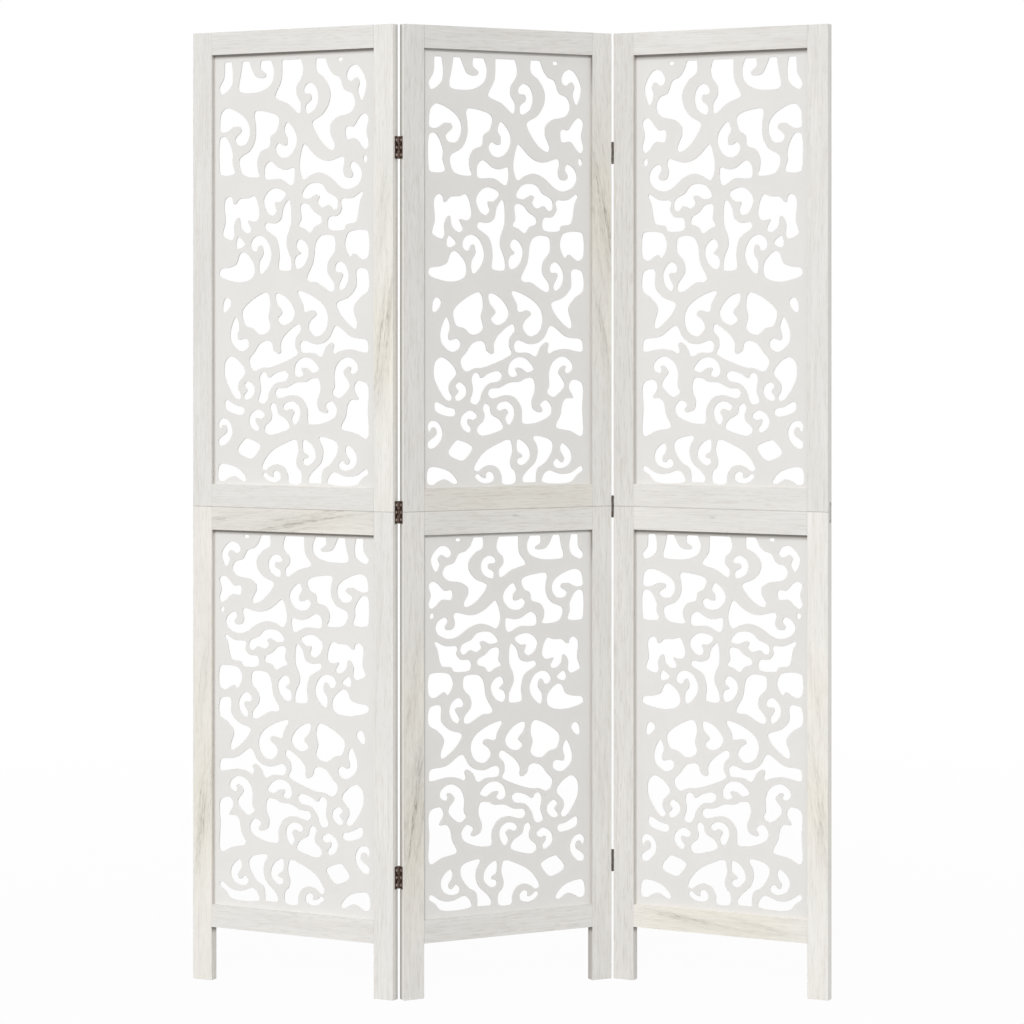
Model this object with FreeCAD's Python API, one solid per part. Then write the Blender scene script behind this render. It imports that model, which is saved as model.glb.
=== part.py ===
import FreeCAD, Part
import math
import os

# Folding room divider: three panels of a whitewashed wooden frame with a scroll-cut fret in each half,
# standing in a zigzag on two rows of small butt hinges. Lengths are in millimetres, +Z is up, the viewer
# stands on the -Y side, and the origin lies on the floor under the centre of the middle panel.

# Driving dimensions of the screen
screen_height = 1650.0
panel_width = 400.0
panel_thickness = 16.0
fold_degrees = 54.0          # turn of each outer panel out of the flat, as the screen stands

# Frame of one panel half
stile_width = 38.0
rail_height = 39.0
lower_head_height = 40.2     # the rail that closes the lower half is a little deeper
leg_height = 93.0
seam_height = 825.0          # where the upper half stands on the lower half
edge_ease = 0.4
groove_depth = 6.0
tongue_inset = 8.0           # from a rail's outer edge to its tongue
end_clearance = 0.5
fit_clearance = 0.1

# Fret, a thin board caught in the groove
fret_thickness = 2.5
fret_set_share = 0.5         # share of the spare thickness that lies in front of the fret
upper_margin_left = 9.3
upper_margin_right = 14.0
upper_margin_bottom = 4.9
upper_margin_top = 13.1
lower_margin_side = 11.6
lower_margin_bottom = 13.1
lower_margin_top = 10.5
lower_squeeze_share = 0.195  # the lower scrolls crowd towards the top of their field
lower_draw = 3.2             # how far the top ends of the lower scrolls are drawn up
draw_share = 0.02            # share of the field's height over which that dies away

# Loose tenons that locate the upper stiles on the lower ones
tenon_length = 40.0
tenon_width = 20.0
tenon_thickness = 6.0

# Butt hinges
hinge_height = 38.0
hinge_inset = 208.4          # from the top of the screen to the middle of a top hinge
hinge_lift = 206.2           # from the floor to the middle of a bottom hinge
hinge_drop = 0.9             # from the seam down to the middle of a middle hinge
leaf_margin = 2.5            # bare wood between a leaf and the far face of the panel
leaf_thickness = 0.85
pin_diameter = 1.7
pin_clearance = 0.05
pin_reach = 0.5              # how far a pin stands out of its knuckles
pin_offset = 0.5             # from the face of the panel to the pin's axis
knuckle_gap = 0.4
knuckle_count = 3

# Worked out from the sizes above
half_turn = fold_degrees / 2
front_face = -panel_thickness / 2
opening_half = panel_width / 2 - stile_width
fret_recess = (panel_thickness - fret_thickness) * fret_set_share
fret_front = front_face + fret_recess
groove_front = fret_front - fit_clearance
groove_width = fret_thickness + 2 * fit_clearance
tongue_length = groove_depth - end_clearance
bore_radius = pin_diameter / 2 + pin_clearance
knuckle_radius = bore_radius + leaf_thickness
pin_x = panel_width / 2 + knuckle_radius
pin_y = panel_thickness / 2 + pin_offset
leaf_width = panel_thickness + pin_offset - leaf_margin
knuckle_length = hinge_height / knuckle_count
hinge_heights = {
    "bottom": hinge_lift,
    "middle": seam_height - hinge_drop,
    "top": screen_height - hinge_inset,
}

# Each half: its floor, the underside of its bottom rail, its top, its head rail, and the margins round
# its scrolls
halves = {
    "upper": {
        "foot": seam_height, "rail": seam_height, "top": screen_height, "squeeze": 0,
        "head_rail": rail_height, "draw": 0,
        "left": upper_margin_left, "right": upper_margin_right,
        "bottom": upper_margin_bottom, "head": upper_margin_top,
    },
    "lower": {
        "foot": 0, "rail": leg_height, "top": seam_height, "squeeze": lower_squeeze_share,
        "head_rail": lower_head_height, "draw": lower_draw,
        "left": lower_margin_side, "right": lower_margin_side,
        "bottom": lower_margin_bottom, "head": lower_margin_top,
    },
}
mirrored_frets = [("right", "upper"), ("left", "lower"), ("middle", "lower")]

# Outlines of the scrolls, as shares of their field: across from its left edge, and down from its top
scroll_shares = {
    "kidney slot": [
        (0.043, 0), (0.090, 0), (0.100, 0.030), (0.089, 0.058), (0.024, 0.0765), (0.008, 0.062),
        (0.038, 0.038), (0.043, 0.018)],
    "hooked bowl": [
        (0.163, 0), (0.208, 0), (0.232, 0.023), (0.256, 0.038), (0.312, 0.0405), (0.3225, 0.033),
        (0.287, 0.0185), (0.288, 0), (0.357, 0), (0.376, 0.025), (0.362, 0.053), (0.300, 0.071),
        (0.205, 0.0755), (0.144, 0.0705), (0.138, 0.059), (0.152, 0.030)],
    "tall boot": [
        (0.430, 0), (0.557, 0), (0.571, 0.025), (0.560, 0.044), (0.530, 0.062), (0.528, 0.084),
        (0.555, 0.104), (0.550, 0.1255), (0.538, 0.127), (0.470, 0.1045), (0.385, 0.088),
        (0.388, 0.079), (0.424, 0.049)],
    "comma beside the boot": [
        (0.575, 0.073), (0.590, 0.061), (0.618, 0.0563), (0.652, 0.065), (0.671, 0.088),
        (0.652, 0.117), (0.594, 0.129), (0.588, 0.110), (0.624, 0.0955), (0.619, 0.0825),
        (0.584, 0.0805)],
    "long lightning": [
        (0.656, 0), (0.717, 0), (0.742, 0.0245), (0.770, 0.0388), (0.810, 0.0465), (0.842, 0.0755),
        (0.893, 0.086), (0.913, 0.108), (0.885, 0.129), (0.790, 0.1405), (0.750, 0.158),
        (0.750, 0.175), (0.779, 0.206), (0.768, 0.2158), (0.705, 0.2025), (0.630, 0.153),
        (0.640, 0.146), (0.700, 0.131), (0.742, 0.104), (0.746, 0.074), (0.705, 0.045),
        (0.658, 0.0285)],
    "top dot": [
        (0.799, 0.0005), (0.831, 0.0005), (0.829, 0.0065), (0.815, 0.0092), (0.801, 0.0065)],
    "top right comma": [
        (0.857, 0.042), (0.872, 0.0265), (0.908, 0.0185), (0.940, 0.024), (0.984, 0.057),
        (0.979, 0.082), (0.954, 0.1025), (0.930, 0.079), (0.941, 0.060), (0.922, 0.0475),
        (0.884, 0.057), (0.862, 0.051)],
    "big left comma": [
        (0.011, 0.145), (0.022, 0.121), (0.060, 0.110), (0.160, 0.1275), (0.206, 0.149),
        (0.213, 0.175), (0.182, 0.198), (0.130, 0.197), (0.115, 0.184), (0.157, 0.165),
        (0.147, 0.154), (0.105, 0.154), (0.058, 0.166), (0.015, 0.164)],
    "curved boot": [
        (0.244, 0.130), (0.252, 0.120), (0.330, 0.122), (0.398, 0.132), (0.411, 0.142),
        (0.393, 0.168), (0.356, 0.180), (0.345, 0.204), (0.290, 0.215), (0.265, 0.236),
        (0.268, 0.260), (0.280, 0.272), (0.270, 0.276), (0.172, 0.270), (0.145, 0.251),
        (0.146, 0.231), (0.215, 0.2125), (0.2495, 0.185), (0.2515, 0.150)],
    "crescent": [
        (0.465, 0.1475), (0.444, 0.167), (0.464, 0.185), (0.464, 0.201), (0.440, 0.2025),
        (0.408, 0.1965), (0.387, 0.207), (0.402, 0.224), (0.440, 0.2313), (0.490, 0.2245),
        (0.528, 0.197), (0.520, 0.173)],
    "right arrowhead": [
        (0.972, 0.133), (0.998, 0.142), (0.9865, 0.176), (1.000, 0.205), (0.982, 0.2165),
        (0.955, 0.209), (0.915, 0.1905), (0.860, 0.1915), (0.851, 0.184), (0.852, 0.165),
        (0.868, 0.1615), (0.898, 0.163), (0.945, 0.139)],
    "left wedge": [
        (0.010, 0.185), (0.022, 0.179), (0.053, 0.1795), (0.098, 0.217), (0.097, 0.240),
        (0.110, 0.266), (0.018, 0.268), (0.0095, 0.260)],
    "small bow": [
        (0.3115, 0.264), (0.320, 0.249), (0.352, 0.2395), (0.415, 0.2565), (0.455, 0.260),
        (0.510, 0.2555), (0.515, 0.264), (0.506, 0.293), (0.490, 0.297), (0.420, 0.2815),
        (0.320, 0.280)],
    "fish": [
        (0.315, 0.322), (0.350, 0.307), (0.395, 0.303), (0.455, 0.3165), (0.418, 0.3355),
        (0.381, 0.3365), (0.393, 0.358), (0.368, 0.368), (0.332, 0.360), (0.307, 0.335)],
    "torn leaf": [
        (0.041, 0.338), (0.052, 0.326), (0.078, 0.3205), (0.096, 0.326), (0.105, 0.339),
        (0.118, 0.3385), (0.145, 0.3275), (0.205, 0.325), (0.240, 0.320), (0.258, 0.328),
        (0.278, 0.366), (0.262, 0.379), (0.235, 0.381), (0.201, 0.378), (0.224, 0.403),
        (0.195, 0.409), (0.155, 0.395), (0.142, 0.3715), (0.129, 0.372), (0.107, 0.390),
        (0.108, 0.416), (0.092, 0.4245), (0.031, 0.413), (0.032, 0.404), (0.047, 0.383)],
    "small seed": [
        (0.135, 0.418), (0.121, 0.431), (0.127, 0.4435), (0.150, 0.444), (0.180, 0.435),
        (0.165, 0.425)],
    "fern comma": [
        (0.220, 0.437), (0.240, 0.4205), (0.280, 0.415), (0.325, 0.4245), (0.359, 0.457),
        (0.342, 0.485), (0.292, 0.506), (0.278, 0.499), (0.279, 0.477), (0.304, 0.4575),
        (0.290, 0.4365), (0.274, 0.440), (0.259, 0.4515), (0.232, 0.449)],
    "left wing": [
        (0.007, 0.503), (0.017, 0.494), (0.082, 0.4895), (0.123, 0.481), (0.148, 0.458),
        (0.178, 0.454), (0.240, 0.481), (0.244, 0.506), (0.222, 0.5175), (0.145, 0.525),
        (0.015, 0.511)],
    "tall spear": [
        (0.475, 0.331), (0.485, 0.338), (0.489, 0.388), (0.464, 0.418), (0.461, 0.440),
        (0.488, 0.470), (0.491, 0.494), (0.480, 0.498), (0.412, 0.495), (0.406, 0.487),
        (0.412, 0.461), (0.390, 0.422), (0.316, 0.397), (0.322, 0.386), (0.385, 0.3863),
        (0.422, 0.3765), (0.440, 0.3485)],
    "trumpet": [
        (0.577, 0.1995), (0.595, 0.205), (0.645, 0.226), (0.695, 0.2385), (0.745, 0.2412),
        (0.833, 0.2325), (0.843, 0.241), (0.834, 0.265), (0.850, 0.2803), (0.887, 0.2818),
        (0.898, 0.2735), (0.879, 0.256), (0.895, 0.2448), (0.938, 0.2545), (0.957, 0.275),
        (0.936, 0.296), (0.870, 0.3087), (0.820, 0.3035), (0.740, 0.2775), (0.675, 0.268),
        (0.620, 0.274), (0.573, 0.2845), (0.553, 0.272), (0.545, 0.245)],
    "right dot": [
        (0.973, 0.229), (0.989, 0.234), (0.991, 0.243), (0.978, 0.2475), (0.966, 0.240)],
    "cloud": [
        (0.563, 0.319), (0.597, 0.2985), (0.645, 0.2925), (0.697, 0.297), (0.732, 0.3145),
        (0.790, 0.3285), (0.801, 0.342), (0.792, 0.354), (0.770, 0.3555), (0.742, 0.3445),
        (0.694, 0.3505), (0.666, 0.338), (0.678, 0.324), (0.658, 0.3195), (0.610, 0.329),
        (0.568, 0.3255)],
    "pennant": [
        (0.957, 0.315), (0.963, 0.320), (0.946, 0.336), (0.928, 0.375), (0.915, 0.386),
        (0.856, 0.3915), (0.843, 0.402), (0.795, 0.4053), (0.740, 0.401), (0.731, 0.388),
        (0.743, 0.3735), (0.798, 0.370), (0.825, 0.353), (0.818, 0.338), (0.826, 0.3315),
        (0.895, 0.3295)],
    "bell": [
        (0.552, 0.347), (0.565, 0.341), (0.608, 0.344), (0.642, 0.3595), (0.690, 0.3735),
        (0.691, 0.3865), (0.648, 0.395), (0.619, 0.4095), (0.575, 0.399), (0.541, 0.392),
        (0.557, 0.377)],
    "middle curl": [
        (0.525, 0.438), (0.540, 0.4258), (0.565, 0.4255), (0.602, 0.4425), (0.604, 0.463),
        (0.575, 0.4865), (0.530, 0.4945), (0.513, 0.481), (0.524, 0.465), (0.555, 0.4575),
        (0.530, 0.446)],
    "bottle": [
        (0.655, 0.432), (0.682, 0.4185), (0.735, 0.415), (0.776, 0.420), (0.783, 0.430),
        (0.780, 0.453), (0.738, 0.477), (0.732, 0.502), (0.776, 0.531), (0.774, 0.5458),
        (0.750, 0.548), (0.655, 0.5255), (0.615, 0.525), (0.595, 0.518), (0.636, 0.479)],
    "notched square": [
        (0.848, 0.428), (0.872, 0.4095), (0.988, 0.4065), (0.9995, 0.414), (0.9965, 0.466),
        (0.962, 0.4735), (0.902, 0.4585), (0.882, 0.467), (0.868, 0.4625), (0.847, 0.442)],
    "ear comma": [
        (0.780, 0.494), (0.792, 0.482), (0.820, 0.4775), (0.855, 0.4905), (0.870, 0.511),
        (0.852, 0.5355), (0.815, 0.5455), (0.805, 0.535), (0.832, 0.509), (0.822, 0.503),
        (0.790, 0.502)],
    "right bone": [
        (0.924, 0.496), (0.985, 0.497), (0.999, 0.507), (0.998, 0.545), (0.945, 0.562),
        (0.903, 0.587), (0.925, 0.624), (0.918, 0.6345), (0.900, 0.6335), (0.820, 0.604),
        (0.789, 0.578), (0.800, 0.5725), (0.868, 0.5615), (0.918, 0.5375)],
    "left seed": [
        (0.054, 0.5625), (0.036, 0.572), (0.0335, 0.594), (0.050, 0.596), (0.087, 0.5765),
        (0.079, 0.566)],
    "big petal": [
        (0.162, 0.597), (0.180, 0.584), (0.265, 0.5585), (0.325, 0.550), (0.342, 0.556),
        (0.352, 0.581), (0.339, 0.606), (0.352, 0.632), (0.335, 0.643), (0.282, 0.6492),
        (0.230, 0.634), (0.183, 0.6275)],
    "kidney": [
        (0.387, 0.555), (0.402, 0.552), (0.455, 0.561), (0.505, 0.585), (0.515, 0.601),
        (0.490, 0.619), (0.437, 0.6262), (0.402, 0.613), (0.431, 0.5965), (0.394, 0.575)],
    "big hook": [
        (0.533, 0.549), (0.545, 0.5463), (0.640, 0.5605), (0.712, 0.584), (0.735, 0.610),
        (0.720, 0.637), (0.685, 0.6505), (0.645, 0.6525), (0.606, 0.633), (0.618, 0.6175),
        (0.659, 0.601), (0.640, 0.592), (0.577, 0.595), (0.566, 0.577)],
    "left fish hook": [
        (0.121, 0.6075), (0.093, 0.627), (0.081, 0.650), (0.092, 0.670), (0.155, 0.6893),
        (0.202, 0.680), (0.206, 0.666), (0.186, 0.659), (0.140, 0.662), (0.131, 0.652),
        (0.143, 0.631)],
    "bird wing": [
        (0.543, 0.6245), (0.555, 0.639), (0.524, 0.656), (0.519, 0.677), (0.535, 0.693),
        (0.510, 0.7015), (0.350, 0.7265), (0.300, 0.7277), (0.247, 0.7355), (0.220, 0.7275),
        (0.210, 0.709), (0.245, 0.691), (0.285, 0.670), (0.338, 0.664), (0.362, 0.669),
        (0.376, 0.687), (0.410, 0.695), (0.421, 0.690), (0.420, 0.672), (0.445, 0.6525)],
    "arrow bone": [
        (0.551, 0.671), (0.575, 0.6633), (0.650, 0.672), (0.705, 0.6685), (0.745, 0.6555),
        (0.787, 0.6285), (0.890, 0.655), (0.987, 0.662), (0.997, 0.672), (0.995, 0.6885),
        (0.980, 0.6907), (0.880, 0.6835), (0.810, 0.688), (0.775, 0.6943), (0.766, 0.688),
        (0.773, 0.672), (0.758, 0.6675), (0.722, 0.678), (0.690, 0.701), (0.640, 0.6925),
        (0.560, 0.6893)],
    "left leaf": [
        (0.040, 0.738), (0.050, 0.713), (0.085, 0.702), (0.140, 0.7125), (0.183, 0.739),
        (0.140, 0.763), (0.136, 0.779), (0.155, 0.796), (0.142, 0.8035), (0.115, 0.800),
        (0.052, 0.760)],
    "bean comma": [
        (0.177, 0.770), (0.200, 0.7605), (0.240, 0.771), (0.245, 0.787), (0.218, 0.8005),
        (0.186, 0.804), (0.173, 0.796), (0.196, 0.7815)],
    "branch": [
        (0.280, 0.750), (0.300, 0.739), (0.325, 0.742), (0.339, 0.752), (0.385, 0.7412),
        (0.448, 0.7355), (0.473, 0.744), (0.455, 0.758), (0.388, 0.7645), (0.346, 0.7845),
        (0.331, 0.804), (0.308, 0.813), (0.271, 0.807), (0.287, 0.781)],
    "lower crescent": [
        (0.511, 0.736), (0.525, 0.716), (0.570, 0.7037), (0.620, 0.7055), (0.662, 0.720),
        (0.675, 0.7315), (0.636, 0.7385), (0.592, 0.728), (0.558, 0.729), (0.571, 0.743),
        (0.545, 0.7495), (0.519, 0.745)],
    "hooked sock": [
        (0.384, 0.788), (0.398, 0.7775), (0.455, 0.775), (0.520, 0.763), (0.588, 0.7605),
        (0.622, 0.7535), (0.670, 0.753), (0.685, 0.768), (0.683, 0.784), (0.664, 0.807),
        (0.675, 0.8265), (0.722, 0.8338), (0.734, 0.829), (0.718, 0.815), (0.758, 0.8055),
        (0.793, 0.822), (0.782, 0.8405), (0.705, 0.8565), (0.640, 0.8605), (0.605, 0.858),
        (0.597, 0.823), (0.555, 0.798), (0.495, 0.792), (0.405, 0.799)],
    "right scroll": [
        (0.763, 0.786), (0.777, 0.772), (0.775, 0.742), (0.795, 0.718), (0.840, 0.704),
        (0.880, 0.703), (0.925, 0.7175), (0.928, 0.732), (0.893, 0.7415), (0.879, 0.735),
        (0.887, 0.7255), (0.865, 0.7235), (0.837, 0.738), (0.872, 0.761), (0.875, 0.772),
        (0.812, 0.797), (0.790, 0.796)],
    "notched sail": [
        (0.906, 0.770), (0.922, 0.759), (0.942, 0.757), (0.993, 0.7665), (0.995, 0.826), (0.9985, 0.885),
        (0.984, 0.892), (0.915, 0.8793), (0.824, 0.870), (0.822, 0.863), (0.850, 0.8405),
        (0.865, 0.812), (0.888, 0.8015), (0.933, 0.8005), (0.907, 0.779)],
    "slab": [
        (0.045, 0.813), (0.055, 0.806), (0.125, 0.8187), (0.172, 0.824), (0.177, 0.833),
        (0.160, 0.8403), (0.054, 0.828)],
    "lower left curl": [
        (0.208, 0.856), (0.220, 0.839), (0.272, 0.827), (0.315, 0.840), (0.290, 0.849),
        (0.254, 0.8465), (0.256, 0.858), (0.275, 0.869), (0.265, 0.8785), (0.225, 0.8705)],
    "pear": [
        (0.350, 0.822), (0.366, 0.8115), (0.392, 0.817), (0.405, 0.836), (0.460, 0.851),
        (0.480, 0.869), (0.395, 0.8833), (0.340, 0.886), (0.313, 0.877), (0.318, 0.866),
        (0.355, 0.8515), (0.361, 0.838)],
    "lower curl": [
        (0.437, 0.821), (0.455, 0.811), (0.505, 0.8075), (0.545, 0.820), (0.550, 0.842),
        (0.517, 0.8625), (0.494, 0.848), (0.511, 0.831), (0.490, 0.824), (0.455, 0.8285)],
    "left edge comma": [
        (0.002, 0.862), (0.022, 0.851), (0.065, 0.8535), (0.095, 0.875), (0.085, 0.8955),
        (0.040, 0.9135), (0.008, 0.913), (0.003, 0.901), (0.058, 0.881), (0.050, 0.8665),
        (0.030, 0.8655), (0.014, 0.876)],
    "diamond": [
        (0.188, 0.8965), (0.272, 0.908), (0.285, 0.915), (0.235, 0.942), (0.212, 0.944),
        (0.140, 0.931), (0.133, 0.922), (0.172, 0.901)],
    "half moon": [
        (0.001, 0.968), (0.018, 0.959), (0.080, 0.9605), (0.150, 0.9725), (0.189, 0.994),
        (0.172, 0.999), (0.110, 0.987), (0.070, 0.9915), (0.035, 0.9995), (0.003, 0.996)],
    "fan": [
        (0.296, 0.961), (0.330, 0.9375), (0.375, 0.921), (0.495, 0.898), (0.529, 0.898),
        (0.540, 0.922), (0.525, 0.948), (0.534, 0.963), (0.558, 0.974), (0.555, 0.999),
        (0.475, 1.000), (0.468, 0.980), (0.440, 0.962), (0.395, 0.956), (0.355, 0.9605),
        (0.320, 0.970), (0.298, 0.967)],
    "small scroll": [
        (0.299, 0.981), (0.320, 0.9768), (0.345, 0.984), (0.370, 0.987), (0.371, 0.976),
        (0.395, 0.9715), (0.420, 0.979), (0.418, 0.992), (0.380, 0.9985), (0.330, 0.9945)],
    "bottom comma": [
        (0.566, 0.910), (0.572, 0.897), (0.615, 0.9037), (0.648, 0.921), (0.650, 0.941),
        (0.600, 0.958), (0.570, 0.952), (0.574, 0.943), (0.604, 0.9385), (0.598, 0.932),
        (0.573, 0.9255)],
    "hourglass": [
        (0.674, 0.891), (0.775, 0.8975), (0.799, 0.908), (0.795, 0.926), (0.752, 0.9525),
        (0.703, 0.966), (0.692, 0.985), (0.692, 0.999), (0.608, 0.999), (0.603, 0.990),
        (0.625, 0.9755), (0.685, 0.952), (0.702, 0.930), (0.698, 0.914)],
    "bottom right comma": [
        (0.850, 0.914), (0.864, 0.908), (0.910, 0.923), (0.924, 0.940), (0.905, 0.9585),
        (0.850, 0.9675), (0.812, 0.963), (0.804, 0.953), (0.828, 0.9447), (0.860, 0.9545),
        (0.875, 0.944), (0.851, 0.927)],
    "banana": [
        (0.728, 0.995), (0.745, 0.9795), (0.775, 0.972), (0.850, 0.981), (0.915, 0.979),
        (0.988, 0.9627), (0.997, 0.972), (0.962, 0.983), (0.918, 1.000), (0.735, 0.999)],
}


def block(x_ends, y_ends, z_ends):
    """A box between two ends along each axis, given in either order."""
    low = [min(ends) for ends in (x_ends, y_ends, z_ends)]
    size = [abs(ends[1] - ends[0]) for ends in (x_ends, y_ends, z_ends)]
    return Part.makeBox(*size, FreeCAD.Vector(*low))


def stile(side, half):
    """An upright of one half: side is -1 for the left one and +1 for the right one."""
    ends = halves[half]
    outer = side * panel_width / 2
    inner = side * opening_half
    eased = outer - side * edge_ease
    section = [
        (inner, front_face), (eased, front_face), (outer, front_face + edge_ease),
        (outer, -front_face - edge_ease), (eased, -front_face), (inner, -front_face)]
    points = [FreeCAD.Vector(x, y, ends["foot"]) for x, y in section]
    outline = Part.Face(Part.makePolygon(points + points[:1]))
    wood = outline.extrude(FreeCAD.Vector(0, 0, ends["top"] - ends["foot"]))
    groove = block(
        (inner, inner + side * groove_depth), (groove_front, groove_front + groove_width),
        (ends["rail"] + tongue_inset, ends["top"] - tongue_inset))
    return wood.cut([groove, mortise(side, half)]).removeSplitter()


def mortise(side, half):
    """The blind slot for a tenon in the end of a stile at the seam; the upper one is a little deeper."""
    centre = side * (panel_width - stile_width) / 2
    half_width = tenon_width / 2 + fit_clearance
    half_thickness = tenon_thickness / 2 + fit_clearance
    end = seam_height - tenon_length / 2
    if half == "upper":
        end = seam_height + tenon_length / 2 + end_clearance
    return block(
        (centre - half_width, centre + half_width), (-half_thickness, half_thickness), (end, seam_height))


def tenon(side):
    """A loose tenon standing in the lower stile and reaching into the upper one."""
    centre = side * (panel_width - stile_width) / 2
    return block(
        (centre - tenon_width / 2, centre + tenon_width / 2), (-tenon_thickness / 2, tenon_thickness / 2),
        (seam_height - tenon_length / 2, seam_height + tenon_length / 2))


def rail(low, high, groove_side):
    """A cross rail with a tongue at each end; groove_side is +1 if the fret stands on it, -1 if it hangs."""
    wood = block((-opening_half, opening_half), (front_face, -front_face), (low, high))
    tongue_ends = (low + tongue_inset, high - groove_depth)
    groove_ends = (high - groove_depth, high)
    if groove_side < 0:
        tongue_ends = (low + groove_depth, high - tongue_inset)
        groove_ends = (low, low + groove_depth)
    tongue_tip = opening_half + tongue_length
    tongue = block((-tongue_tip, tongue_tip), (fret_front, fret_front + fret_thickness), tongue_ends)
    groove = block((-opening_half, opening_half), (groove_front, groove_front + groove_width), groove_ends)
    return wood.fuse(tongue).cut(groove).removeSplitter()


def scroll_wire(shares, field, mirror):
    """The closed outline of one scroll on the front of the fret."""
    width = field["right"] - field["left"]
    height = field["top"] - field["bottom"]
    points = []
    for across_share, down_share in shares:
        sunk_share = down_share - field["squeeze"] * down_share * (1 - down_share)
        x = field["left"] + across_share * width
        drawn = field["draw"] * max(0, 1 - down_share / draw_share)
        points.append(FreeCAD.Vector(mirror * x, fret_front, field["top"] - sunk_share * height + drawn))
    return Part.makePolygon(points + points[:1])


def fret(half, mirror):
    """The pierced board of one half, standing on the floor of the bottom rail's groove."""
    ends = halves[half]
    low = ends["rail"] + rail_height
    high = ends["top"] - ends["head_rail"]
    field = {
        "left": -opening_half + ends["left"], "right": opening_half - ends["right"],
        "bottom": low + ends["bottom"], "top": high - ends["head"], "squeeze": ends["squeeze"],
        "draw": ends["draw"],
    }
    edge = opening_half + tongue_length
    corners = [(-edge, low - groove_depth), (edge, low - groove_depth),
               (edge, high + tongue_length), (-edge, high + tongue_length)]
    points = [FreeCAD.Vector(x, fret_front, z) for x, z in corners]
    border = Part.makePolygon(points + points[:1])
    holes = [scroll_wire(shares, field, mirror) for shares in scroll_shares.values()]
    face = Part.Face([border] + holes, "Part::FaceMakerBullseye")
    return face.extrude(FreeCAD.Vector(0, fret_thickness, 0))


def leaf(x_side, y_side, middle, knuckle_rows):
    """A hinge leaf on a panel's edge. The rows of knuckles that it carries count 0, 1, 2 from below."""
    axis = FreeCAD.Vector(x_side * pin_x, y_side * pin_y, 0)
    low = middle - hinge_height / 2
    wood_edge = x_side * panel_width / 2
    plate = block(
        (wood_edge, wood_edge + x_side * leaf_thickness),
        (axis.y, axis.y - y_side * leaf_width), (low, low + hinge_height))
    knuckles = []
    gaps = []
    for row in range(knuckle_count):
        start = low + row * knuckle_length
        if row in knuckle_rows:
            base = FreeCAD.Vector(axis.x, axis.y, start)
            knuckles.append(Part.makeCylinder(knuckle_radius, knuckle_length, base))
        else:
            reach = knuckle_radius + knuckle_gap
            gaps.append(block(
                (axis.x - reach, axis.x + reach), (axis.y - reach, axis.y + reach),
                (start - knuckle_gap / 2, start + knuckle_length + knuckle_gap / 2)))
    bore = Part.makeCylinder(bore_radius, hinge_height, FreeCAD.Vector(axis.x, axis.y, low))
    return plate.fuse(knuckles).cut(gaps + [bore]).removeSplitter()


def pin(x_side, y_side, middle):
    """The pin of one hinge, standing a little out of both ends of its knuckles."""
    low = middle - hinge_height / 2 - pin_reach
    base = FreeCAD.Vector(x_side * pin_x, y_side * pin_y, low)
    return Part.makeCylinder(pin_diameter / 2, hinge_height + 2 * pin_reach, base)


def panel_placement(turn, own_pin, fold_pin):
    """Turns a panel about Z and brings the pin on its own edge to the pin of the fold."""
    rotation = FreeCAD.Rotation(FreeCAD.Vector(0, 0, 1), turn)
    return FreeCAD.Placement(fold_pin - rotation.multVec(own_pin), rotation)


origin = FreeCAD.Vector(0, 0, 0)
middle_turn = FreeCAD.Rotation(FreeCAD.Vector(0, 0, 1), half_turn)
back_left = FreeCAD.Vector(-pin_x, pin_y, 0)
back_right = FreeCAD.Vector(pin_x, pin_y, 0)
placements = {
    "left": panel_placement(-half_turn, back_right, middle_turn.multVec(back_left)),
    "middle": panel_placement(half_turn, origin, origin),
    "right": panel_placement(-half_turn, -back_right, middle_turn.multVec(-back_left)),
}


def write(name, panel, shape):
    """Places a shape with its panel and writes its file."""
    shape.Placement = placements[panel].multiply(shape.Placement)
    shape.exportStep(os.path.join("parts", name + ".step"))


os.makedirs("parts", exist_ok=True)

for panel in placements:
    for half, ends in halves.items():
        node = panel + "_" + half
        mirror = -1 if (panel, half) in mirrored_frets else 1
        write(node + "_left_stile", panel, stile(-1, half))
        write(node + "_right_stile", panel, stile(1, half))
        write(node + "_bottom_rail", panel, rail(ends["rail"], ends["rail"] + rail_height, 1))
        write(node + "_top_rail", panel, rail(ends["top"] - ends["head_rail"], ends["top"], -1))
        write(node + "_fret", panel, fret(half, mirror))
    write(panel + "_tenons", panel, Part.makeCompound([tenon(-1), tenon(1)]))

# The left fold has its pins behind the panels, the right fold in front of them
for fold, y_side in (("left", 1), ("right", -1)):
    middle_side = -y_side
    for place, height in hinge_heights.items():
        node = fold + "_fold_" + place + "_hinge"
        write(node + "_fixed_leaf", "middle", leaf(middle_side, y_side, height, (0, 2)))
        write(node + "_moving_leaf", fold, leaf(-middle_side, y_side, height, (1,)))
        write(node + "_pin", "middle", pin(middle_side, y_side, height))
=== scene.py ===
import math

import bmesh
import bpy
from mathutils import Matrix, Vector


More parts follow.
